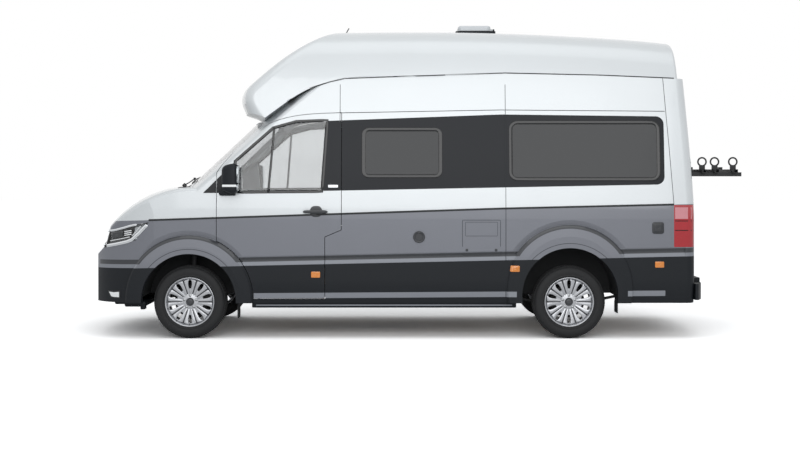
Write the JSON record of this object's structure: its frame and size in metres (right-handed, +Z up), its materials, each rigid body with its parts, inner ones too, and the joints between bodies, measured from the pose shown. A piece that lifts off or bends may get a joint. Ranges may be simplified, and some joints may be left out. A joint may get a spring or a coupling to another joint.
{
  "type": "camper van",
  "caption": "High-roof camper van on a long panel van, with hinged cab and rear doors, bonnet, steered front wheels and a cycle carrier on one rear door.",
  "frame": {"origin": "on the ground, in the middle of the length and width of everything that belongs to the van, the cycle carrier and the mirrors included", "axes": "+Z up; +X towards the tail, so the front faces -X; +Y towards the right-hand side, so the steering wheel is on the -Y side"},
  "size_m": [6.378, 2.426, 3.09],
  "materials": {
    "alloy": "painted alloy",
    "black_plastic": "grained",
    "body_paint": "two-tone paint: pale silver above the belt line, mid grey below",
    "cabinet": "laminate",
    "carrier_steel": "black powder coat",
    "castings": "as cast",
    "chassis_steel": "black underbody coating",
    "clear_glass": "clear tinted",
    "dark_glass": "dark tinted",
    "lamp_lens": "clear lens",
    "red_lens": "moulded lens",
    "roof_moulding": "gelcoat, pale silver",
    "seat_fabric": "woven",
    "skylight_dome": "smooth dome",
    "tank_plastic": "blow moulded",
    "tyre": "moulded rubber"
  },
  "bodies": {
    "van": {"antenna": "black_plastic", "bed": "seat_fabric", "bench_seat": "seat_fabric", "bulkhead": "chassis_steel", "cab_frame": "body_paint", "camper_windows": "dark_glass", "chassis_rails": "chassis_steel", "dashboard": "black_plastic", "engine_block": "castings", "exhaust": "chassis_steel", "floor": "chassis_steel", "front_bumper": "body_paint", "front_suspension": "chassis_steel", "front_wings": "body_paint", "fuel_tank": "tank_plastic", "grille": "black_plastic", "headlamps": "lamp_lens", "kitchen_unit": "cabinet", "leaf_springs": "chassis_steel", "mudflaps": "black_plastic", "rear_axle": "chassis_steel", "rear_bumper": "black_plastic", "rear_frame": "body_paint", "roof_cap": "roof_moulding", "seats": "seat_fabric", "side_wall_left": "body_paint", "side_wall_right": "body_paint", "skylight_frame": "black_plastic", "sliding_door": "body_paint", "tail_lamps": "red_lens", "wheel_arch_liners": "black_plastic", "windscreen": "clear_glass"},
    "bonnet": {"bonnet": "body_paint"},
    "cab_door_left": {"cab_door_left": "body_paint", "cab_door_glass_left": "clear_glass", "mirror_left": "black_plastic"},
    "cab_door_right": {"cab_door_right": "body_paint", "cab_door_glass_right": "clear_glass", "mirror_right": "black_plastic"},
    "rear_door_left": {"rear_door_left": "body_paint", "rear_door_glass_left": "dark_glass", "bike_carrier": "carrier_steel"},
    "rear_door_right": {"rear_door_right": "body_paint", "rear_door_glass_right": "dark_glass"},
    "steering_wheel": {"steering_wheel": "black_plastic"},
    "knuckle_left": {"knuckle_left": "castings"},
    "knuckle_right": {"knuckle_right": "castings"},
    "wheel_front_left": {"tyre_front_left": "tyre", "rim_front_left": "alloy"},
    "wheel_front_right": {"tyre_front_right": "tyre", "rim_front_right": "alloy"},
    "wheel_rear_left": {"tyre_rear_left": "tyre", "rim_rear_left": "alloy"},
    "wheel_rear_right": {"tyre_rear_right": "tyre", "rim_rear_right": "alloy"},
    "skylight_lid": {"skylight_lid": "skylight_dome"}
  },
  "joints": [
    {"name": "bonnet_hinge", "type": "hinge", "parent": "van", "child": "bonnet", "pos_m": [-2.339, 0, 1.443], "axis": [0, 1, 0], "range_deg": [0, 50]},
    {"name": "cab_door_left_hinge", "type": "hinge", "parent": "van", "child": "cab_door_left", "pos_m": [-1.915, -1.021, 0.9], "axis": [0, 0, -1], "range_deg": [0, 68]},
    {"name": "cab_door_right_hinge", "type": "hinge", "parent": "van", "child": "cab_door_right", "pos_m": [-1.915, 1.021, 0.9], "axis": [0, 0, 1], "range_deg": [0, 68]},
    {"name": "rear_door_left_hinge", "type": "hinge", "parent": "van", "child": "rear_door_left", "pos_m": [2.676, -0.783, 1.2], "axis": [0, 0, -1], "range_deg": [0, 90]},
    {"name": "rear_door_right_hinge", "type": "hinge", "parent": "van", "child": "rear_door_right", "pos_m": [2.676, 0.783, 1.2], "axis": [0, 0, 1], "range_deg": [0, 180]},
    {"name": "steer_left", "type": "hinge", "parent": "van", "child": "knuckle_left", "pos_m": [-2.179, -0.77, 0.205], "axis": [0, 0.1802, 0.9836], "range_deg": [-35, 35]},
    {"name": "steer_right", "type": "hinge", "parent": "van", "child": "knuckle_right", "pos_m": [-2.179, 0.77, 0.205], "axis": [0, -0.1802, 0.9836], "range_deg": [-35, 35]},
    {"name": "steering_wheel_turn", "type": "hinge", "parent": "van", "child": "steering_wheel", "pos_m": [-1.579, -0.47, 1.23], "axis": [0.9063, 0, 0.4226], "range_deg": [-525, 525]},
    {"name": "skylight_hinge", "type": "hinge", "parent": "van", "child": "skylight_lid", "pos_m": [0.796, 0, 3.052], "axis": [0, 1, 0], "range_deg": [0, 45]},
    {"name": "wheel_front_left_spin", "type": "hinge", "parent": "knuckle_left", "child": "wheel_front_left", "pos_m": [-2.179, -0.868, 0.35], "axis": [0, 1, 0], "continuous": true},
    {"name": "wheel_front_right_spin", "type": "hinge", "parent": "knuckle_right", "child": "wheel_front_right", "pos_m": [-2.179, 0.868, 0.35], "axis": [0, 1, 0], "continuous": true},
    {"name": "wheel_rear_left_spin", "type": "hinge", "parent": "van", "child": "wheel_rear_left", "pos_m": [1.461, -0.868, 0.35], "axis": [0, 1, 0], "continuous": true},
    {"name": "wheel_rear_right_spin", "type": "hinge", "parent": "van", "child": "wheel_rear_right", "pos_m": [1.461, 0.868, 0.35], "axis": [0, 1, 0], "continuous": true}
  ],
  "couplings": [
    {"joint": "steer_right", "follows": "steer_left", "ratio": 1},
    {"joint": "steering_wheel_turn", "follows": "steer_left", "ratio": 15}
  ]
}
